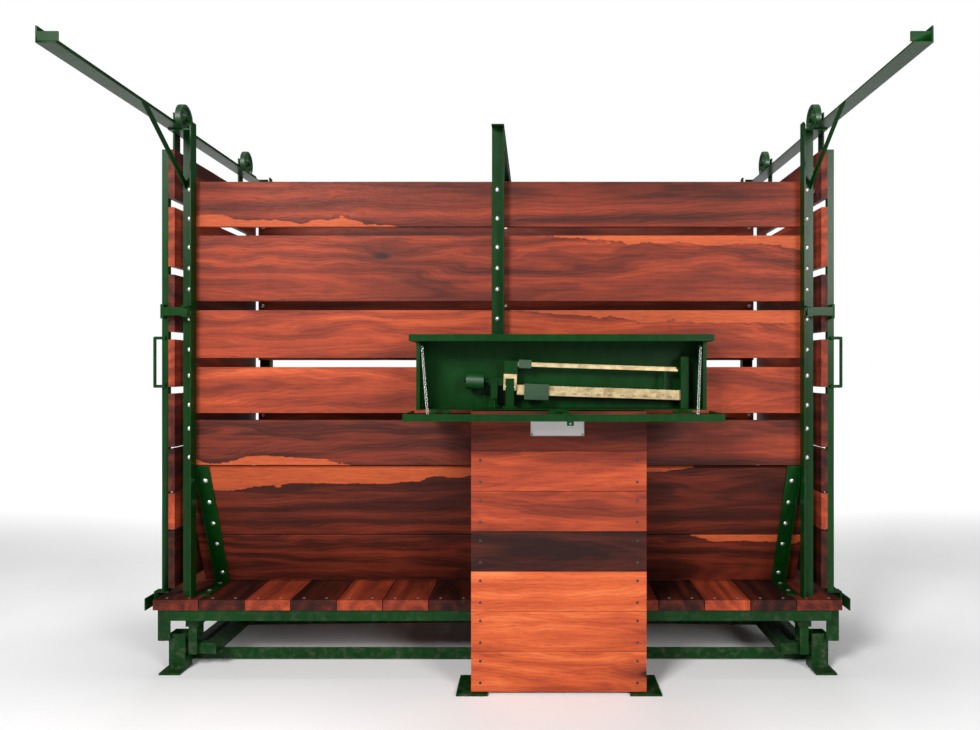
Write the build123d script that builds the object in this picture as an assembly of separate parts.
"""Livestock weighing crate: a planked holding crate with two sliding end gates, standing on a lever
platform, and a separate column that carries the steelyard (beam scale) in a steel box.

Millimetres, +Z up. The origin is on the ground: X = 0 is the middle of the crate's length and
Y = 0 is the middle of the gate rails. The steelyard column stands on the -Y side.
"""
import math
import os

from build123d import *

# ---------------------------------------------------------------- driving dimensions
crate_length = 2500.0       # over the outer edges of the corner posts
wall_gap = 881.0            # between the flanges of the front and rear posts
angle_leg = 50.0            # rolled steel angle of the posts
angle_wall = 5.0
plank_thickness = 25.0
plank_end_gap = 1.0         # a wall plank stops this far inside the post's outer edge

deck_top = 307.0            # walking surface above the ground
deck_end_reach = 96.0       # the deck runs this far past the posts at each end
deck_overhang = 56.0        # in front of the post flanges
deck_thickness = 40.0
deck_plank_count = 15
deck_plank_gap = 3.0
channel_height = 45.0       # deck frame section
channel_flange = 40.0
channel_wall = 5.0

post_top = 2144.0           # top of the post flange, where the rail seat lies
leg_top = 2180.0            # top of the post's outward leg
centre_post_top = 2163.0
incline_top = 818.0         # the wall slopes inward below this height
incline_offset = 216.0      # how far the wall has come inward at the deck
incline_gap = 4.0

rail_front_reach = 868.0    # rail in front of the front post flange
rail_rear_reach = 63.0
rail_stand_off = 36.0       # from the post's leg out to the rail's inner edge
rail_width = 60.0
rail_height = 50.0
rail_wall = 5.0
seat_thickness = 6.0

wheel_radius = 60.0
wheel_width = 22.0
axle_radius = 8.0
bore_clearance = 0.06       # radial running fit of a pin in its bore

gate_width = 920.0
gate_top = 2074.0
gate_bottom = 331.0
gate_front = -20.0          # gate's front edge, measured back from the front flange face
gate_stand_off = 25.0       # from the posts' outer edge to the gate's inner face
stile_leg = 25.0
stile_wall = 4.0
hanger_width = 55.0
hanger_thickness = 6.0

column_width = 651.0
column_depth = 148.0
column_left = -91.0         # left face of the column
column_front = 207.5        # column front face in front of the post flange plane
column_plank = 22.0
box_width = 1078.0
box_left = -295.0
box_bottom = 1056.0
box_top = 1337.0
box_wall = 3.0
door_reach = 255.0
door_rim = 25.0

fulcrum_x = 50.0            # beam fulcrum
fulcrum_z = 1158.0
load_arm = 60.0             # beam fulcrum to the rod's pivot
beam_plane = 115.0          # beam mid-plane in front of the post flange plane

ground_rail_height = 46.0
foot_plate = 8.0
foot_column = 66.0
foot_column_out = 38.0      # outside the posts' outer edge
foot_column_height = 147.0
lever_height = 44.0
lever_bottom = 62.0
lever_z = lever_bottom + lever_height / 2
knife_radius = 9.0

bolt_head_radius = 10.0
bolt_head_height = 5.0
bolt_radius = 4.9
hole_radius = 5.0
screw_head_radius = 5.0
screw_head_height = 1.5

# ---------------------------------------------------------------- places worked out from them
half_length = crate_length / 2
deck_length = crate_length + 2 * deck_end_reach
gate_inner = half_length + gate_stand_off
foot_column_x = half_length + foot_column_out
crate_width = wall_gap + 2 * angle_wall
rail_length = rail_front_reach + crate_width + rail_rear_reach
front_face = rail_front_reach - rail_length / 2        # outer face of the front post flanges
rear_face = front_face + crate_width
middle_y = (front_face + rear_face) / 2
post_inner = half_length - angle_leg                   # the post's leg stands at this edge
deck_front = front_face - deck_overhang
deck_rear = rear_face + deck_overhang
deck_under = deck_top - deck_thickness
frame_under = deck_under - channel_height
incline = math.atan2(incline_offset, incline_top - deck_top)
slant = math.hypot(incline_offset, incline_top - deck_top)
rail_z = post_top + seat_thickness
tread_z = rail_z + rail_wall
axle_z = tread_z + wheel_radius + 0.3
rail_inner = post_inner + rail_stand_off
rail_outer = rail_inner + rail_width
gate_outer = gate_inner + plank_thickness
gate_y0 = front_face + gate_front
gate_y1 = gate_y0 + gate_width
column_y0 = front_face - column_front
column_y1 = column_y0 + column_depth
column_right = column_left + column_width
beam_y = front_face - beam_plane
rod_x = fulcrum_x - load_arm

# heights of the upright wall planks, as (bottom, top)
wall_planks = [(1774, 1953), (1478, 1739), (1252, 1442), (1033, 1216), (826, 1005)]
wall_slant_planks = [(incline_gap, 318), (322, 547)]   # measured down the slope
gate_planks = [(1880, 2074), (1612, 1847), (1355, 1581), (1137, 1325),
               (900, 1111), (724, 893), (576, 718), (345, 570)]

os.makedirs("parts", exist_ok=True)


# ---------------------------------------------------------------- helpers
def block(x0, x1, y0, y1, z0, z1):
    """A rectangular bar between two corners, in any order."""
    size = (abs(x1 - x0), abs(y1 - y0), abs(z1 - z0))
    return Pos((x0 + x1) / 2, (y0 + y1) / 2, (z0 + z1) / 2) * Box(*size)


def rod_x_axis(radius, x0, x1, y, z):
    return Pos((x0 + x1) / 2, y, z) * Rot(0, 90, 0) * Cylinder(radius, abs(x1 - x0))


def rod_y_axis(radius, x, y0, y1, z):
    return Pos(x, (y0 + y1) / 2, z) * Rot(90, 0, 0) * Cylinder(radius, abs(y1 - y0))


def rod_z_axis(radius, x, y, z0, z1):
    return Pos(x, y, (z0 + z1) / 2) * Cylinder(radius, abs(z1 - z0))


def mirror_x(shape):
    return mirror(shape, about=Plane.YZ)


def mirror_wall(shape):
    """The same piece on the other long wall."""
    return mirror(shape, about=Plane.XZ.offset(-middle_y))


def solids_of(shape):
    """The separate solids of whatever a cut or a union left."""
    if isinstance(shape, (list, tuple)):
        return [solid for item in shape for solid in solids_of(item)]
    return list(shape.solids())


def save(name, pieces):
    """One node: each piece stays a solid of its own."""
    solids = solids_of(pieces)
    shape = solids[0] if len(solids) == 1 else Compound(children=solids)
    export_step(shape, f"parts/{name}.step")


def four_corners(shape):
    """A piece at the front left corner, and its three mirrored copies."""
    left = [shape, mirror_wall(shape)]
    return left + [mirror_x(piece) for piece in left]


def slope(shape):
    """Lay a piece from the slope's own frame (X along the wall, Y inward, Z up the slope from its
    foot at the deck) on the front wall's slope."""
    foot = Pos(0, front_face + angle_wall + incline_offset, deck_top)
    return foot * Rot(math.degrees(incline), 0, 0) * shape


# ---------------------------------------------------------------- bolts through the walls
def bolt_along_y(x, y_head, z, grip, direction=1):
    """A carriage bolt: its dome stands at y_head, its shank and nut reach along `direction`."""
    dome = Pos(x, y_head, z) * Rot(90 * direction, 0, 0) * dome_head()
    shank = rod_y_axis(bolt_radius, x, y_head, y_head + direction * (grip + 9), z)
    nut_y = y_head + direction * (grip + 3.5)
    nut = Pos(x, nut_y, z) * Rot(90, 0, 0) * extrude(RegularPolygon(9, 6), amount=3.5, both=True)
    return dome + shank + nut


def dome_head():
    """A low round head standing on the XY plane, towards +Z."""
    cap_radius = (bolt_head_radius ** 2 + bolt_head_height ** 2) / (2 * bolt_head_height)
    ball = Pos(0, 0, bolt_head_height - cap_radius) * Sphere(cap_radius)
    return ball & Pos(0, 0, bolt_head_height) * Box(60, 60, 2 * bolt_head_height)


def bolt_rows(low, high):
    """Two bolts in a plank, or three in a wide one."""
    height = high - low
    inset = 0.18 * height
    rows = 3 if height > 240 else 2
    return [low + inset + (height - 2 * inset) * i / (rows - 1) for i in range(rows)]


post_bolt_x = [-(post_inner + 0.5 * angle_leg), -2.0, post_inner + 0.5 * angle_leg]
bolt_points = [(x, z) for x in post_bolt_x for low, high in wall_planks for z in bolt_rows(low, high)]
grip = angle_wall + plank_thickness


def drill_wall(shape):
    """The bolt holes of the front wall, cut through one piece."""
    box = shape.bounding_box()
    holes = [rod_y_axis(hole_radius, x, front_face - 1, front_face + grip + 1, z)
             for x, z in bolt_points if box.min.X < x < box.max.X and box.min.Z < z < box.max.Z]
    return shape - holes if holes else shape


# ---------------------------------------------------------------- posts
def angle_post(inner_x, outer_x, flange_top, leg_height):
    """An upright angle on the deck: its flange lies against the planks and its leg, at the inner
    edge, points outward and ends in a clipped corner."""
    flange = block(inner_x, outer_x, front_face, front_face + angle_wall, deck_top, flange_top)
    turn = 1 if outer_x > inner_x else -1
    tip = front_face + angle_wall - angle_leg
    leg = block(inner_x, inner_x + turn * angle_wall, tip, front_face + angle_wall, deck_top, leg_height)
    clip = Pos(inner_x + turn * angle_wall / 2, tip, leg_height) * Rot(45, 0, 0) * Box(20, 22, 22)
    return (flange + leg) - clip


corner_post = drill_wall(angle_post(-post_inner, -half_length, post_top, leg_top))
seat_bolt_y = front_face - 22
seat_bolt_z = post_top - 19
corner_post = corner_post - rod_x_axis(hole_radius, -post_inner - 10, -post_inner + 10, seat_bolt_y,
                                       seat_bolt_z)
save("corner_posts", four_corners(corner_post))

centre_inner = angle_leg / 2
centre_post = drill_wall(angle_post(centre_inner, -centre_inner, centre_post_top, centre_post_top))
save("centre_posts", [centre_post, mirror_wall(centre_post)])

tie_bottom = centre_post_top
tie_tip = front_face + angle_wall - angle_leg
tie_plate = block(-centre_inner, centre_inner, tie_tip, 2 * middle_y - tie_tip, tie_bottom,
                  tie_bottom + angle_wall)
tie_web = block(centre_inner - angle_wall, centre_inner, front_face + angle_wall + 1,
                rear_face - angle_wall - 1, tie_bottom - 40, tie_bottom)
save("centre_tie", [tie_plate + tie_web])

# ---------------------------------------------------------------- wall planks
plank_y0 = front_face + angle_wall
plank_y1 = plank_y0 + plank_thickness
plank_half = half_length - plank_end_gap


def eased(shape, radius=2.0):
    """Sawn timber with its long edges eased."""
    return fillet(shape.edges().filter_by(Axis.X), radius)


upright_planks = []
for low, high in wall_planks:
    plank = eased(block(-plank_half, plank_half, plank_y0, plank_y1, low, high))
    upright_planks.append(drill_wall(plank))

slope_half = plank_half
slope_bolt_x = [-(post_inner - 27.0), 0.0, post_inner - 27.0]
slope_points = [(x, slant - down) for x in slope_bolt_x
                for a, b in wall_slant_planks for down in bolt_rows(a, b)]


def drill_slope(shape, x_low, x_high):
    """The bolt holes of the sloping planks, cut in the slope's own frame."""
    holes = [rod_y_axis(hole_radius, x, -angle_wall - 1, plank_thickness + 1, up)
             for x, up in slope_points if x_low < x < x_high]
    return shape - holes


slant_planks = []
for start, end in wall_slant_planks:
    plank = eased(block(-slope_half, slope_half, 0, plank_thickness, slant - end, slant - start))
    low_up, high_up = slant - end, slant - start
    holes = [rod_y_axis(hole_radius, x, -1, plank_thickness + 1, up)
             for x, up in slope_points if low_up < up < high_up]
    slant_planks.append(slope(plank - holes))

front_wall = upright_planks + slant_planks
save("wall_planks_front", front_wall)
save("wall_planks_rear", [mirror_wall(plank) for plank in front_wall])

# ---------------------------------------------------------------- sloping bars and their foot bars


def slope_bar(x_middle):
    """A short angle bolted down the slope, cut level at the deck and at its top."""
    half = angle_leg / 2
    flange = block(x_middle - half, x_middle + half, -angle_wall, 0, -30, slant + 30)
    leg = block(x_middle - half, x_middle - half + angle_wall, -30, 0, -30, slant + 30)
    bar = slope(drill_slope(flange + leg, x_middle - half, x_middle + half))
    keep_top = incline_top + 6
    keep = block(x_middle - 2 * half, x_middle + 2 * half, front_face + angle_wall - 45, middle_y,
                 deck_top + angle_wall, keep_top)
    return bar & keep


bar_x = post_inner - angle_leg / 2 - 2
left_bar = slope_bar(-bar_x)
middle_bar = slope_bar(0.0)
centre_clear = block(-centre_inner - 1, centre_inner + 1, front_face - 60, front_face + angle_wall + 0.5,
                     deck_top, post_top)
middle_bar = middle_bar - centre_clear
side_clear = block(-post_inner - 60, -post_inner + 60, front_face - 60, front_face + 0.0, deck_top, post_top)
left_bar = left_bar - side_clear
bars = [left_bar, mirror_wall(left_bar), mirror_x(left_bar), mirror_x(mirror_wall(left_bar)),
        middle_bar, mirror_wall(middle_bar)]
save("slope_bars", bars)

foot_y0 = front_face + angle_wall + 1
foot_y1 = front_face + angle_wall + incline_offset + 34


def foot_bar(x_middle):
    """The flat bar under a sloping bar, bolted down on the deck."""
    half = angle_leg / 2
    flat = block(x_middle - half, x_middle + half, foot_y0, foot_y1, deck_top, deck_top + angle_wall)
    for y in (foot_y0 + 60, foot_y1 - 80):
        flat = flat - rod_z_axis(hole_radius, x_middle, y, deck_top - 1, deck_top + angle_wall + 1)
    return flat


foot_bar_left = foot_bar(-bar_x)
foot_bar_middle = foot_bar(0.0)
foot_bars = [foot_bar_left, mirror_wall(foot_bar_left), mirror_x(foot_bar_left),
             mirror_x(mirror_wall(foot_bar_left)), foot_bar_middle, mirror_wall(foot_bar_middle)]
save("foot_bars", foot_bars)
foot_bolts = [(sx, y) for sx in (-bar_x, 0.0, bar_x) for y in (foot_y0 + 60, foot_y1 - 80)]

# ---------------------------------------------------------------- deck
deck_pitch = deck_length / deck_plank_count
deck_planks = []
for index in range(deck_plank_count):
    left = -deck_length / 2 + index * deck_pitch + deck_plank_gap / 2
    right = left + deck_pitch - deck_plank_gap
    plank = block(left, right, deck_front, deck_rear, deck_under, deck_top)
    plank = fillet(plank.edges().filter_by(Axis.Y), 2.0)
    for x, y in foot_bolts:
        if left < x < right:
            for y_hole in (y, 2 * middle_y - y):
                plank = plank - rod_z_axis(hole_radius, x, y_hole, deck_under - 1, deck_top + 1)
    deck_planks.append(plank)
save("deck_planks", deck_planks)

# channels along both long edges and across both ends, with two joists between them
frame_half = deck_length / 2 - 40
frame_y0 = deck_front + 12
frame_y1 = deck_rear - 12


def channel_along_x(x0, x1, y_web, turn):
    """A channel whose web stands at y_web and whose flanges point towards `turn`."""
    web = block(x0, x1, y_web, y_web + turn * channel_wall, frame_under, deck_under)
    lower = block(x0, x1, y_web, y_web + turn * channel_flange, frame_under, frame_under + channel_wall)
    upper = block(x0, x1, y_web, y_web + turn * channel_flange, deck_under - channel_wall, deck_under)
    return web + lower + upper


def channel_along_y(y0, y1, x_web, turn):
    web = block(x_web, x_web + turn * channel_wall, y0, y1, frame_under, deck_under)
    lower = block(x_web, x_web + turn * channel_flange, y0, y1, frame_under, frame_under + channel_wall)
    upper = block(x_web, x_web + turn * channel_flange, y0, y1, deck_under - channel_wall, deck_under)
    return web + lower + upper


long_front = channel_along_x(-frame_half, frame_half, frame_y0, 1)
cross_y0 = frame_y0 + channel_flange
cross_y1 = frame_y1 - channel_flange
end_left = channel_along_y(cross_y0, cross_y1, -frame_half, 1)
bearing_x = post_inner + 25.0
joist_xs = (330.0, 780.0, bearing_x + channel_flange / 2)   # the outer ones stand on the bearing posts
joists = [channel_along_y(cross_y0, cross_y1, -x, 1) for x in joist_xs]
save("deck_frame", [long_front, mirror_wall(long_front), end_left, mirror_x(end_left)]
     + joists + [mirror_x(joist) for joist in joists])

# ---------------------------------------------------------------- bearing posts under the deck
skid_y0 = front_face + 30.0
bearing_y = skid_y0 + foot_column / 2
lever_top = lever_bottom + lever_height
bearing_clear = 0.3


def bearing_post():
    """The deck's load leg: a wide head plate under the frame and a narrow hanger whose eye takes
    the lever's load pin."""
    head = block(-bearing_x - 26, -bearing_x + 26, bearing_y - 40, bearing_y + 40, frame_under - 44,
                 frame_under)
    eye = block(-bearing_x - 17, -bearing_x + 17, bearing_y - 33, bearing_y - 25, lever_bottom + 2,
                frame_under - 44)
    eye = eye + block(-bearing_x - 17, -bearing_x + 17, bearing_y + 25, bearing_y + 33,
                      lever_bottom + 2, frame_under - 44)
    bore = rod_y_axis(knife_radius + bearing_clear, -bearing_x, bearing_y - 50, bearing_y + 50, lever_z)
    return (head + eye) - bore


save("bearing_posts", four_corners(bearing_post()))

bumper_x0 = deck_length / 2 - 38
bumper_x1 = bumper_x0 + angle_leg
bumper = block(-bumper_x1, -bumper_x0, deck_front + 70, deck_front + 75, 124, deck_under)
bumper = bumper + block(-bumper_x1, -bumper_x1 + angle_wall, deck_front + 75, deck_front + 115, 124,
                        deck_under)
save("corner_bumpers", four_corners(bumper))

# ---------------------------------------------------------------- ground frame
skid_half = foot_column / 2
plate_y0 = front_face - 20.0
beam_y0 = front_face + 143.0


def box_tube_y(x0, x1, y0, y1, z0, z1, wall):
    outer = block(x0, x1, y0, y1, z0, z1)
    return outer - block(x0 + wall, x1 - wall, y0 - 1, y1 + 1, z0 + wall, z1 - wall)


plate = block(-foot_column_x - 50, -foot_column_x + skid_half, plate_y0, skid_y0 + foot_column + 4, 0,
              foot_plate)
plate = plate - rod_z_axis(7.0, -foot_column_x - 28, plate_y0 + 22, -1, foot_plate + 1)
save("foot_plates", four_corners(plate))

column_tube = block(-foot_column_x - skid_half, -foot_column_x + skid_half, skid_y0, skid_y0 + foot_column,
                    foot_plate, foot_column_height)
column_core = block(-foot_column_x - skid_half + 5, -foot_column_x + skid_half - 5, skid_y0 + 5,
                    skid_y0 + foot_column - 5, foot_plate, foot_column_height + 1)
lever_slot = block(-foot_column_x, -foot_column_x + skid_half + 1, skid_y0 + 9, skid_y0 + foot_column - 9,
                   lever_bottom - 6, foot_column_height + 1)
knife_bore = rod_y_axis(knife_radius + bore_clearance, -foot_column_x, skid_y0 - 1,
                        skid_y0 + foot_column + 1, lever_z)
foot_tube = column_tube - column_core - lever_slot - knife_bore
save("foot_columns", four_corners(foot_tube))

skid = box_tube_y(-foot_column_x - 20, -foot_column_x + 20, skid_y0 + foot_column,
                  2 * middle_y - skid_y0 - foot_column,
                  foot_plate, foot_plate + ground_rail_height, 4)

cross_beam = block(-foot_column_x + 20, foot_column_x - 20, beam_y0, beam_y0 + 5, foot_plate,
                   foot_plate + ground_rail_height)
cross_beam = cross_beam + block(-foot_column_x + 20, foot_column_x - 20, beam_y0, beam_y0 + 45, foot_plate,
                                foot_plate + 5)
save("ground_frame", [skid, mirror_x(skid), cross_beam, mirror_wall(cross_beam)])

# ---------------------------------------------------------------- levers under the deck
# Both torsion levers hang their noses on the load pin of the extension lever, which runs forward
# into the column and pulls the steelyard rod down.
torsion_x = foot_column_x - 130.0
torsion_half = 22.0
nose_y = middle_y
nose_gap = 24.0
nose_plate = 9.0
extension_half = 14.0
extension_z = 135.0
extension_half_height = 15.0
extension_fulcrum_y = nose_y + 120.0
extension_pin = 8.0
rod_y = beam_y


def main_lever(side):
    """One torsion lever: a tube along the platform's end, two short arms with a fulcrum pin and a
    load pin each, and a long tapered arm to the middle that ends in an eye plate."""
    tube = block(side * (torsion_x - torsion_half), side * (torsion_x + torsion_half), bearing_y - 22,
                 2 * middle_y - bearing_y + 22, lever_bottom, lever_top)
    body = tube
    for y in (bearing_y, 2 * middle_y - bearing_y):
        arm = block(side * (foot_column_x + 16), side * torsion_x, y - 14, y + 14, lever_bottom, lever_top)
        fulcrum = rod_y_axis(knife_radius, side * foot_column_x, y - 32, y + 32, lever_z)
        load = rod_y_axis(knife_radius, side * bearing_x, y - 33, y + 33, lever_z)
        body = body + arm + fulcrum + load
    nose_end = rod_x + side * nose_gap
    outline = Plane.XY.offset(lever_bottom + 7) * Polyline(
        (side * torsion_x, nose_y - 60), (nose_end, nose_y - 16), (nose_end, nose_y + 16),
        (side * torsion_x, nose_y + 60), close=True)
    long_arm = extrude(make_face(outline), amount=lever_height - 14)
    eye = block(nose_end, nose_end + side * nose_plate, nose_y - 16, nose_y + 16,
                lever_bottom + 7, extension_z + 18)
    bore = rod_x_axis(extension_pin + bearing_clear, nose_end - 20, nose_end + 20, nose_y, extension_z)
    return (body + long_arm + eye) - bore


save("main_lever_left", [main_lever(-1)])
save("main_lever_right", [main_lever(1)])

extension = block(rod_x - extension_half, rod_x + extension_half, rod_y - 16, extension_fulcrum_y + 20,
                  extension_z - extension_half_height, extension_z + extension_half_height)
load_pin = rod_x_axis(extension_pin, rod_x - nose_gap - nose_plate - 3, rod_x + nose_gap + nose_plate + 3,
                      nose_y, extension_z)
stand_gap = 4.0
stand_plate = 8.0
stand_reach = extension_half + stand_gap + stand_plate
fulcrum_pin = rod_x_axis(knife_radius, rod_x - stand_reach, rod_x + stand_reach, extension_fulcrum_y,
                         extension_z)
clevis_gap = 2.0
clevis_plate = 5.0
clevis_reach = extension_half + clevis_gap + clevis_plate
front_pin = rod_x_axis(6.0, rod_x - clevis_reach, rod_x + clevis_reach, rod_y, extension_z)
save("extension_lever", [extension + load_pin + fulcrum_pin + front_pin])

strip_half = 32.0
strip = block(rod_x - strip_half, rod_x + strip_half, beam_y0 + 45, 2 * middle_y - beam_y0 - 45,
              foot_plate, foot_plate + 8)
stand = strip
for side in (-1, 1):
    inner = rod_x + side * (extension_half + stand_gap)
    stand = stand + block(inner, inner + side * stand_plate, extension_fulcrum_y - 25,
                          extension_fulcrum_y + 25,
                          foot_plate, extension_z + 20)
stand = stand - rod_x_axis(knife_radius + bore_clearance, rod_x - 60, rod_x + 60, extension_fulcrum_y,
                           extension_z)
save("extension_stand", [stand])

# ---------------------------------------------------------------- steelyard rod
rod_radius = 5.0
clevis_top = extension_z + 40
shackle_gap = 9.0
shackle_plate = 5.0
load_pin_radius = 5.0
shackle_low = fulcrum_z - 62
rod = rod_z_axis(rod_radius, rod_x, rod_y, clevis_top, shackle_low)
bridge = block(rod_x - clevis_reach, rod_x + clevis_reach, rod_y - 10, rod_y + 10, clevis_top - 8, clevis_top)
lower = bridge
for side in (-1, 1):
    inner = rod_x + side * (extension_half + clevis_gap)
    lower = lower + block(inner, inner + side * clevis_plate, rod_y - 10, rod_y + 10,
                          extension_z - 14, clevis_top)
lower = lower - rod_x_axis(6.0 + bearing_clear, rod_x - 40, rod_x + 40, rod_y, extension_z)
upper = block(rod_x - 13, rod_x + 13, rod_y - shackle_gap - shackle_plate,
              rod_y + shackle_gap + shackle_plate,
              shackle_low, shackle_low + 6)
for side in (-1, 1):
    inner = rod_y + side * shackle_gap
    upper = upper + block(rod_x - 13, rod_x + 13, inner, inner + side * shackle_plate,
                          shackle_low, fulcrum_z + 12)
upper = upper - rod_y_axis(load_pin_radius + bearing_clear, rod_x, rod_y - 40, rod_y + 40, fulcrum_z)
save("steelyard_rod", [rod + lower + upper])

# ---------------------------------------------------------------- column
post_leg = 40.0
post_wall = 4.0
column_foot_reach = 55.0
column_post = block(column_left + column_plank, column_left + column_plank + post_leg,
                    column_y0 + column_plank, column_y0 + column_plank + post_wall, foot_plate, box_bottom)
column_post = column_post + block(column_left + column_plank, column_left + column_plank + post_wall,
                                  column_y0 + column_plank, column_y0 + column_plank + post_leg,
                                  foot_plate, box_bottom)
column_x_mid = column_left + column_width / 2
column_y_mid = (column_y0 + column_y1) / 2


def mirror_column_x(shape):
    return mirror(shape, about=Plane.YZ.offset(column_x_mid))


def mirror_column_y(shape):
    return mirror(shape, about=Plane.XZ.offset(-column_y_mid))


front_posts = [column_post, mirror_column_x(column_post)]
column_posts = front_posts + [mirror_column_y(post) for post in front_posts]

foot = block(column_left - column_foot_reach, column_left + column_plank + post_leg,
             column_y0 - 16, column_y1 + 24, 0, foot_plate)
foot = foot - rod_z_axis(7.0, column_left - column_foot_reach / 2, column_y0 + 20, -1, foot_plate + 1)
foot = foot - rod_z_axis(7.0, column_left - column_foot_reach / 2, column_y1 - 20, -1, foot_plate + 1)
save("column_frame", column_posts + [foot, mirror_column_x(foot)])

column_plank_count = 7
hinge_leaf = 3.0
column_base = foot_plate + 2
plank_pitch = (box_bottom - hinge_leaf - 0.5 - column_base) / column_plank_count
front_planks = []
side_planks = []
for index in range(column_plank_count):
    low = column_base + index * plank_pitch + 0.5
    high = low + plank_pitch - 1.0
    front_plank = block(column_left, column_right, column_y0, column_y0 + column_plank, low, high)
    front_planks.append(fillet(front_plank.edges().filter_by(Axis.X), 1.5))
    side_plank = block(column_left, column_left + column_plank, column_y0 + column_plank, column_y1, low,
                       high)
    side_planks.append(side_plank)
save("column_planks_front", front_planks)
save("column_planks_sides", side_planks + [mirror_column_x(plank) for plank in side_planks])

# ---------------------------------------------------------------- beam box
box_right = box_left + box_width
shell = block(box_left, box_right, column_y0, column_y1, box_bottom, box_top - box_wall)
hollow = block(box_left + box_wall, box_right - box_wall, column_y0 - 10, column_y1 - box_wall,
               box_bottom + box_wall, box_top)
rod_hole = rod_z_axis(14.0, rod_x, rod_y, box_bottom - 5, box_bottom + 10)
shell = shell - hollow - rod_hole
lip = 14.0
for side_x, turn in ((box_left, 1), (box_right, -1)):
    shell = shell + block(side_x, side_x + turn * lip, column_y0, column_y0 + box_wall, box_bottom,
                          box_top - box_wall)

lid_side = 24.0
lid_front = 24.0
lid_skirt = 26.0
lid = block(box_left - lid_side, box_right + lid_side, column_y0 - lid_front, column_y1 + 4,
            box_top - box_wall, box_top)
lid = lid + block(box_left - lid_side, box_right + lid_side, column_y0 - lid_front,
                  column_y0 - lid_front + box_wall, box_top - lid_skirt, box_top)
for side_x, turn in ((box_left - lid_side, 1), (box_right + lid_side, -1)):
    lid = lid + block(side_x, side_x + turn * box_wall, column_y0 - lid_front, column_y1 + 4,
                      box_top - lid_skirt, box_top)
save("box_lid", [lid])

# drop-down door: a shallow pan with its rims upward, on three barrel hinges
hinge_y = column_y0 - 5.0
hinge_z = box_bottom - 5.0
barrel_radius = 5.0
hinge_pin = 2.5
door_side = 8.5
door_back = hinge_y - 6.0
door_front = column_y0 - door_reach
door_top = hinge_z + 4.0
door_sheet_top = door_top - door_rim + box_wall
door = block(box_left - door_side, box_right + door_side, door_front, door_back, door_top - door_rim,
             door_top)
door = door - block(box_left - door_side + box_wall, box_right + door_side - box_wall,
                    door_front + box_wall, door_back + 1, door_sheet_top, door_top + 1)
hinge_xs = [box_left + 90.0, column_x_mid, box_right - 90.0]
knuckle = 24.0
door_parts = door
root_knuckles = []
for x in hinge_xs:
    pin = rod_x_axis(hinge_pin, x - 1.5 * knuckle, x + 1.5 * knuckle, hinge_y, hinge_z)
    door_parts = door_parts + pin
    for side in (-1, 1):
        x0 = x + side * (knuckle / 2 + 0.5)
        x1 = x + side * 1.5 * knuckle
        door_parts = door_parts + rod_x_axis(barrel_radius - 0.5, x0, x1, hinge_y, hinge_z)
        door_parts = door_parts + block(x0, x1, door_back - 20, hinge_y, hinge_z - barrel_radius + 0.5,
                                        hinge_z - barrel_radius + 3.5)
        door_parts = door_parts + block(x0, x1, door_back - 23, door_back - 20, door_sheet_top - 1,
                                        hinge_z - barrel_radius + 3.5)
    barrel = rod_x_axis(barrel_radius - 0.5, x - knuckle / 2, x + knuckle / 2, hinge_y, hinge_z)
    leaf = block(x - knuckle / 2, x + knuckle / 2, hinge_y, hinge_y + 25, box_bottom - hinge_leaf,
                 box_bottom)
    root_knuckles.append((barrel + leaf) - rod_x_axis(hinge_pin + bore_clearance, x - knuckle, x + knuckle,
                                                      hinge_y, hinge_z))
hasp_x = box_left + box_width / 2 + 22.0
hasp = block(hasp_x - 12, hasp_x + 12, door_front - 4, door_front, door_top - door_rim - 14, door_top - 4)
hasp = hasp - rod_y_axis(3.5, hasp_x, door_front - 10, door_front + 1, door_top - door_rim - 7)
save("box_door", [door_parts + hasp])
save("door_hinges", root_knuckles)

# each chain runs from a lug high on the box's side to an eye on the door
chain_radius = 3.0
chain_top = (box_left + 20.0, column_y0 + 18.0, box_top - 44.0)
chain_low = (box_left + 62.0, column_y0 - 150.0, door_sheet_top + 6.0)


def rod_between(radius, start, end):
    span = Vector(*end) - Vector(*start)
    return Solid.make_cylinder(radius, span.length, Plane(origin=start, z_dir=span))


def mirror_box_x(shape):
    return mirror(shape, about=Plane.YZ.offset(box_left + box_width / 2))


chain = rod_between(chain_radius, chain_top, chain_low)
save("door_chain_left", [chain])
save("door_chain_right", [mirror_box_x(chain)])
lug = block(box_left + box_wall, chain_top[0] + 3, chain_top[1] + 3.2, chain_top[1] + 8.2,
            chain_top[2] - 6, chain_top[2] + 8)
save("box_body", [shell, lug, mirror_box_x(lug)])

plate_width = 200.0
plate_height = 78.0
plate_x = column_left + 320.0
plate_z = box_bottom - 58.0
name_plate = block(plate_x - plate_width / 2, plate_x + plate_width / 2, column_y0 - 1.5, column_y0,
                   plate_z - plate_height / 2, plate_z + plate_height / 2)
save("nameplate", [name_plate])

# ---------------------------------------------------------------- beam and its stand
beam_tilt = 1.9
beam_frame = Pos(fulcrum_x, beam_y, fulcrum_z) * Rot(0, beam_tilt, 0)


def beam_block(x0, x1, y0, y1, z0, z1):
    """A bar in the beam's own frame, measured from its fulcrum."""
    return beam_frame * block(x0, x1, y0, y1, z0, z1)


upper_z = 70.0
lower_z = -28.0
upper_half = 8.0
lower_half = 19.0
bar_half = 4.0
upper_end = 640.0
lower_end = 672.0
upper_bar = beam_block(-22, upper_end, -bar_half, bar_half, upper_z - upper_half, upper_z + upper_half)
lower_bar = beam_block(28, lower_end, -bar_half, bar_half, lower_z - lower_half, lower_z + lower_half)

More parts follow.
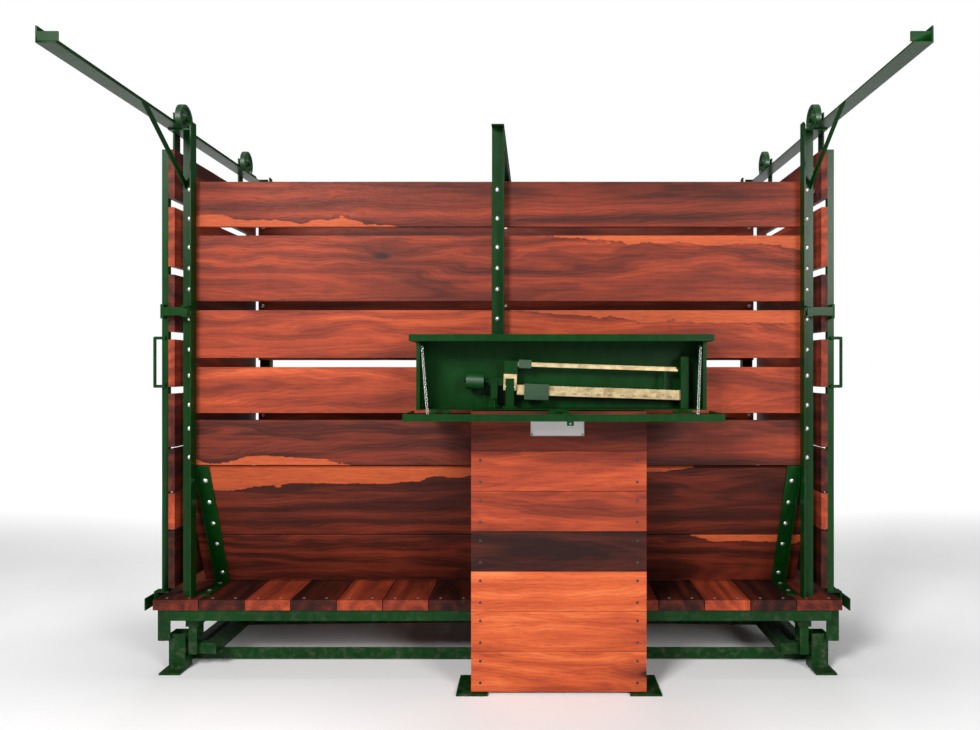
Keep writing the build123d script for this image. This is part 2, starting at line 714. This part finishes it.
cheek = beam_block(-24, 28, -bar_half - 5, bar_half + 5, -34, 32)
cheek = cheek + beam_block(-24, 28, -bar_half - 5, -bar_half, 32, upper_z + 12)
cheek = cheek + beam_block(-24, 28, bar_half, bar_half + 5, 32, upper_z + 12)
arm = beam_block(-load_arm - 20, -24, -bar_half, bar_half, -14, 14)
load_pin_beam = rod_y_axis(load_pin_radius, rod_x, beam_y - shackle_gap - shackle_plate - 1,
                           beam_y + shackle_gap + shackle_plate + 1, fulcrum_z)
stub = beam_frame * rod_x_axis(6.0, -load_arm - 116, -load_arm - 20, 0, 0)
stand_half_gap = 12.0
stand_wall = 5.0
fulcrum_pin_beam = rod_y_axis(load_pin_radius, fulcrum_x, beam_y - stand_half_gap - stand_wall,
                              beam_y + stand_half_gap + stand_wall, fulcrum_z)
save("beam_yoke", [cheek + arm + stub + load_pin_beam + fulcrum_pin_beam])
strut_x = 585.0
strut = beam_block(strut_x, strut_x + 12, -bar_half - 2, bar_half + 2,
                   lower_z + lower_half, upper_z - upper_half)
save("beam_bars", [upper_bar, lower_bar, strut])

beam_stand = block(fulcrum_x - 27, fulcrum_x + 27, beam_y - 26, beam_y + 26,
                   box_bottom + box_wall, box_bottom + box_wall + 6)
for side in (-1, 1):
    inner = beam_y + side * stand_half_gap
    beam_stand = beam_stand + block(fulcrum_x - 16, fulcrum_x + 16, inner, inner + side * stand_wall,
                                    box_bottom + box_wall, fulcrum_z + 14)
beam_stand = beam_stand - rod_y_axis(load_pin_radius + bore_clearance, fulcrum_x, beam_y - 60, beam_y + 60,
                                     fulcrum_z)

# the far end of the beam swings inside a tall loop
guide_x = fulcrum_x + 655.0
guide_gap = 9.0
guide_high = fulcrum_z + 92.0
guide = block(guide_x - 4, guide_x + 26, beam_y - guide_gap - 5, beam_y - guide_gap, box_bottom + box_wall,
              guide_high)
guide = guide + block(guide_x - 4, guide_x + 26, beam_y + guide_gap, beam_y + guide_gap + 5,
                      box_bottom + box_wall, guide_high)
guide = guide + block(guide_x - 4, guide_x + 26, beam_y - guide_gap - 5, beam_y + guide_gap + 5,
                      guide_high, guide_high + 5)
guide = guide + block(guide_x - 4, guide_x + 26, beam_y - guide_gap, beam_y + guide_gap,
                      box_bottom + box_wall, box_bottom + box_wall + 5)
save("beam_guide", [guide])

poise_clear = 0.3


def poise(x0, x1, z_mid, half_height, wall_y, wall_z, drop):
    """A sliding weight: a block with a slot that fits around its bar."""
    outer = beam_block(x0, x1, -bar_half - wall_y, bar_half + wall_y,
                       z_mid - half_height - drop, z_mid + half_height + wall_z)
    slot = beam_block(x0 - 5, x1 + 5, -bar_half - poise_clear, bar_half + poise_clear,
                      z_mid - half_height - poise_clear, z_mid + half_height + poise_clear)
    return outer - slot


save("large_poise", [poise(56, 150, lower_z, lower_half, 14, 6, 18)])
save("small_poise", [poise(32, 80, upper_z, upper_half, 7, 10, 8)])

weight_x = -load_arm - 62.0
weight = beam_frame * rod_x_axis(32.0, weight_x - 44, weight_x + 24, 0, 0)
weight = weight - beam_frame * rod_x_axis(6.0 + bore_clearance, weight_x - 60, weight_x + 60, 0, 0)
save("balance_weight", [weight])

lock_x = -72.0
lock_y = beam_y - 34.0
lock_post = block(lock_x - 8, lock_x + 8, lock_y - 6, lock_y + 6, box_bottom + box_wall, box_bottom + 22)
lock_post = lock_post - rod_x_axis(3.06, lock_x - 20, lock_x + 20, lock_y, box_bottom + 14)
save("beam_stand", [beam_stand, lock_post])
lock = rod_x_axis(3.0, lock_x - 14, lock_x + 30, lock_y, box_bottom + 14)
lock = lock + block(lock_x + 24, lock_x + 30, lock_y - 5, lock_y + 5, box_bottom + 10, box_bottom + 52)
lock = lock + block(lock_x + 24, lock_x + 30, lock_y, lock_y + 16, box_bottom + 44, box_bottom + 52)
save("beam_lock", [lock])

# ---------------------------------------------------------------- rails over the end gates
rail_y0 = -rail_length / 2
rail_y1 = rail_length / 2
rail_stop = 6.0             # thickness of the stop plate at each end, and its lip past the rail
rail_stop_height = 34.0
tread = block(-rail_outer, -rail_inner, rail_y0, rail_y1, rail_z, tread_z)
upstand = block(-rail_outer, -rail_outer + rail_wall, rail_y0, rail_y1, tread_z, rail_z + rail_height)
rail = [tread, upstand]
for y0 in (rail_y0, rail_y1 - rail_stop):
    rail.append(block(-rail_outer + rail_wall, -rail_inner + rail_stop, y0, y0 + rail_stop, tread_z,
                      rail_z + rail_stop_height))

seat = block(-rail_outer + 5, -post_inner - angle_wall, front_face - 45, front_face + angle_wall,
             post_top, post_top + seat_thickness)
save("rail_seats", four_corners(seat))

# diagonal brace from the post up to the overhanging rail
brace_low_z = 1938.0
brace_reach = 330.0
brace_start = front_face - 3.0
brace_angle = math.degrees(math.atan2(rail_z - brace_low_z, brace_reach))
brace_length = math.hypot(rail_z - brace_low_z, brace_reach)
brace_half = 12.5
brace_run = Pos(0, brace_start, brace_low_z) * Rot(-brace_angle, 0, 0)
brace = brace_run * block(-rail_inner - 6, -rail_inner, -brace_length - 40, 60, -brace_half, brace_half)
brace = brace & block(-half_length, -post_inner, rail_y0, front_face, 1000, rail_z)
rail.append(brace)
save("rail_left", rail)
save("rail_right", [mirror_x(piece) for piece in rail])

# ---------------------------------------------------------------- sliding end gates
wheel_x = gate_inner - 2.0
strap_inner = gate_outer
strap_outer = gate_outer + hanger_thickness
wheel_ys = (gate_y0 + 80.0, gate_y1 - 140.0)
axle_inner = wheel_x - wheel_width / 2 - 5


def gate_side(side):
    """Everything that slides with one end gate, and its four nodes."""
    tag = "left" if side < 0 else "right"
    planks = []
    hole_ys = (gate_y0 + 12.5, gate_y1 - 12.5)
    bolts = []
    for low, high in gate_planks:
        plank = block(side * gate_inner, side * gate_outer, gate_y0, gate_y1, low, high)
        plank = fillet(plank.edges().filter_by(Axis.Y), 2.0)
        rows = (low + 0.2 * (high - low), high - 0.2 * (high - low))
        for y in hole_ys:
            for z in rows:
                plank = plank - rod_x_axis(3.05, side * (gate_inner - 1), side * (gate_outer + 1), y, z)
                bolts.append((y, z))
        planks.append(plank)
    strap_rows = (gate_top - 60.0, gate_top - 150.0)
    for y in wheel_ys:
        for z in strap_rows:
            planks[0] = planks[0] - rod_x_axis(hole_radius, side * (gate_inner - 1),
                                               side * (gate_outer + 1), y, z)
    save(f"gate_planks_{tag}", planks)

    frame = []
    for y_edge, turn in ((gate_y0, 1), (gate_y1, -1)):
        flat = block(side * gate_outer, side * (gate_outer + stile_wall), y_edge, y_edge + turn * stile_leg,
                     gate_bottom, gate_top)
        leg = block(side * gate_outer, side * (gate_outer + stile_leg), y_edge, y_edge + turn * stile_wall,
                    gate_bottom, gate_top)
        stile = flat + leg
        for y, z in bolts:
            if abs(y - y_edge) < stile_leg:
                stile = stile - rod_x_axis(3.05, side * (gate_outer - 1), side * (gate_outer + 9), y, z)
        foot_x = guide_inner - 12.0
        shoe = block(side * gate_outer, side * (foot_x - 5), y_edge, y_edge + turn * 40, gate_bottom - 5,
                     gate_bottom)
        tongue = block(side * (foot_x - 5), side * foot_x, y_edge, y_edge + turn * 40, guide_low_z + 12,
                       gate_bottom)
        frame += [stile, shoe, tongue]

    hangers = []
    for y in wheel_ys:
        strap = block(side * strap_inner, side * strap_outer, y - hanger_width / 2, y + hanger_width / 2,
                      gate_top - 190, axle_z + 22)
        for z in strap_rows:
            strap = strap - rod_x_axis(hole_radius, side * (strap_inner - 1), side * (strap_outer + 1), y, z)
        axle = rod_x_axis(axle_radius, side * axle_inner, side * (strap_outer + 6), y, axle_z)
        collar = rod_x_axis(13.0, side * (wheel_x + wheel_width / 2 + 0.5), side * strap_inner, y, axle_z)
        cap = rod_x_axis(12.0, side * (axle_inner - 5), side * axle_inner, y, axle_z)
        hangers.append(strap + axle + collar + cap)
    save(f"gate_hangers_{tag}", hangers)

    fixings = []
    for y, z in bolts:
        shank = rod_x_axis(3.0, side * (gate_inner + 2), side * (gate_outer + stile_wall), y, z)
        head = rod_x_axis(6.0, side * (gate_outer + stile_wall), side * (gate_outer + stile_wall + 4), y, z)
        fixings.append(shank + head)
    for y in wheel_ys:
        for z in strap_rows:
            shank = rod_x_axis(bolt_radius, side * (gate_inner - 9), side * strap_outer, y, z)
            head = Pos(side * strap_outer, y, z) * Rot(0, side * 90, 0) * dome_head()
            nut = rod_x_axis(9.0, side * (gate_inner - 7), side * gate_inner, y, z)
            fixings.append(shank + head + nut)
    save(f"gate_bolts_{tag}", fixings)

    grip_z0, grip_z1 = 1140.0, 1330.0
    handle_x = gate_outer + 50.0
    handle_y = gate_y0 - 6.0
    grip_bar = rod_z_axis(6.0, side * handle_x, handle_y, grip_z0, grip_z1)
    for z in (grip_z0, grip_z1):
        grip_bar = grip_bar + rod_x_axis(6.0, side * (gate_outer + 8), side * handle_x, handle_y, z)
        grip_bar = grip_bar + Pos(side * handle_x, handle_y, z) * Sphere(6.0)
    pivot = latch_pin if side < 0 else mirror_x(latch_pin)
    save(f"gate_frame_{tag}", frame + [grip_bar, pivot])

    for place, y in zip(("front", "rear"), wheel_ys):
        wheel = rod_x_axis(wheel_radius, side * (wheel_x - wheel_width / 2),
                           side * (wheel_x + wheel_width / 2), y, axle_z)
        for face in (-1, 1):
            groove_x = side * wheel_x + face * wheel_width / 2
            ring = rod_x_axis(wheel_radius - 12, groove_x - 5, groove_x + 5, y, axle_z)
            hub = rod_x_axis(20.0, groove_x - 6, groove_x + 6, y, axle_z)
            wheel = wheel - (ring - hub)
        for spoke in range(4):
            turn = math.radians(45 + 90 * spoke)
            wheel = wheel - rod_x_axis(7.0, side * (wheel_x - 20), side * (wheel_x + 20),
                                       y + 34 * math.cos(turn), axle_z + 34 * math.sin(turn))
        wheel = wheel - rod_x_axis(axle_radius + bore_clearance, side * (wheel_x - 30),
                                   side * (wheel_x + 30), y, axle_z)
        save(f"wheel_{tag}_{place}", [wheel])


# bottom guide: a flat bar spaced off each end of the deck, where the gate's tongues run
guide_low_z = 268.0
guide_height = 47.0
guide_wall = 5.0
guide_inner = deck_length / 2 + 23.0
guide_lug = 8.0
guides = [block(-guide_inner - guide_wall, -guide_inner, deck_front - 6, deck_rear + 6,
                guide_low_z, guide_low_z + guide_height)]
for y in (deck_front + 160, middle_y, deck_rear - 160):
    guides.append(block(-guide_inner, -deck_length / 2 + 20, y - 20, y + 20, deck_under - guide_lug,
                        deck_under))
    guides.append(block(-guide_inner - guide_wall, -guide_inner, y - 20, y + 20, deck_under - guide_lug,
                        guide_low_z))
save("gate_guides", guides + [mirror_x(guide) for guide in guides])

# swinging latch on the front stile of each gate; its free end lies in an open fork on the post
latch_z0 = 1417.0
latch_z1 = 1449.0
latch_eye_radius = 7.5
latch_pin_radius = 4.0
latch_collar = 12.0
latch_pin_x = gate_outer + 8.0
latch_pin_y = tie_tip - 8.0
latch_tip_x = post_inner + 8.0
fork_reach = 30.0
fork_width = 24.0


def latch_left():
    eye = rod_z_axis(latch_eye_radius, -latch_pin_x, latch_pin_y, latch_z0, latch_z1)
    bar = block(-latch_pin_x + 2, -latch_tip_x, latch_pin_y - latch_eye_radius, latch_pin_y - 1.5,
                latch_z0, latch_z1)
    bore = rod_z_axis(latch_pin_radius + bore_clearance, -latch_pin_x, latch_pin_y, latch_z0 - 1,
                      latch_z1 + 1)
    return (eye + bar) - bore


def latch_pin_left():
    """The pin on the gate's stile, with a collar and a lug above and below the latch."""
    pin = rod_z_axis(latch_pin_radius, -latch_pin_x, latch_pin_y, latch_z0 - latch_collar,
                     latch_z1 + latch_collar)
    for z0, z1 in ((latch_z0 - latch_collar, latch_z0 - 0.5), (latch_z1 + 0.5, latch_z1 + latch_collar)):
        pin = pin + rod_z_axis(latch_eye_radius, -latch_pin_x, latch_pin_y, z0, z1)
        pin = pin + block(-latch_pin_x - 2, -latch_pin_x + 2, latch_pin_y, gate_y0, z0, z1)
    return pin


latch = latch_left()
latch_pin = latch_pin_left()
save("latch_left", [latch])
save("latch_right", [mirror_x(latch)])
fork = []
for z0 in (latch_z0 - angle_wall - 1, latch_z1 + 1):
    prong = block(-post_inner - fork_width, -post_inner, tie_tip - fork_reach, tie_tip, z0, z0 + angle_wall)
    pin_hole = rod_z_axis(3.5, -post_inner - 14, tie_tip - 23, z0 - 1, z0 + angle_wall + 1)
    fork.append(prong - pin_hole)
save("latch_keepers", fork + [mirror_x(prong) for prong in fork])
gate_side(-1)
gate_side(1)

# ---------------------------------------------------------------- bolts and screws
wall_bolts = [bolt_along_y(x, front_face, z, grip) for x, z in bolt_points]
for x, up in slope_points:
    dome = Pos(x, -angle_wall, up) * Rot(90, 0, 0) * dome_head()
    shank = rod_y_axis(bolt_radius, x, -angle_wall, plank_thickness + 3.5, up)
    nut = rod_y_axis(9.0, x, plank_thickness, plank_thickness + 7, up)
    wall_bolts.append(slope(dome + shank + nut))
save("wall_bolts", wall_bolts + [mirror_wall(bolt) for bolt in wall_bolts])

deck_bolts = []
for x, y in foot_bolts:
    for y_bolt in (y, 2 * middle_y - y):
        head = Pos(x, y_bolt, deck_top + angle_wall) * dome_head()
        deck_bolts.append(head + rod_z_axis(bolt_radius, x, y_bolt, deck_under + 6, deck_top + angle_wall))
for index in range(deck_plank_count):
    x = -deck_length / 2 + (index + 0.5) * deck_pitch
    for offset in (-0.25, 0.25):
        for y in (deck_front + 28, deck_rear - 28):
            deck_bolts.append(rod_z_axis(6.0, x + offset * deck_pitch, y, deck_top, deck_top + 1.5))
save("deck_bolts", deck_bolts)

column_screws = []
for index in range(column_plank_count):
    z_mid = column_base + (index + 0.5) * plank_pitch
    for x in (column_left + column_plank + 12, column_right - column_plank - 12):
        for z in (z_mid - 0.27 * plank_pitch, z_mid + 0.27 * plank_pitch):
            column_screws.append(rod_y_axis(screw_head_radius, x, column_y0 - screw_head_height, column_y0,
                                            z))
for x in (plate_x - plate_width / 2 + 7, plate_x + plate_width / 2 - 7):
    for z in (plate_z - plate_height / 2 + 7, plate_z + plate_height / 2 - 7):
        column_screws.append(rod_y_axis(3.0, x, column_y0 - 3.0, column_y0 - 1.5, z))
save("column_screws", column_screws)
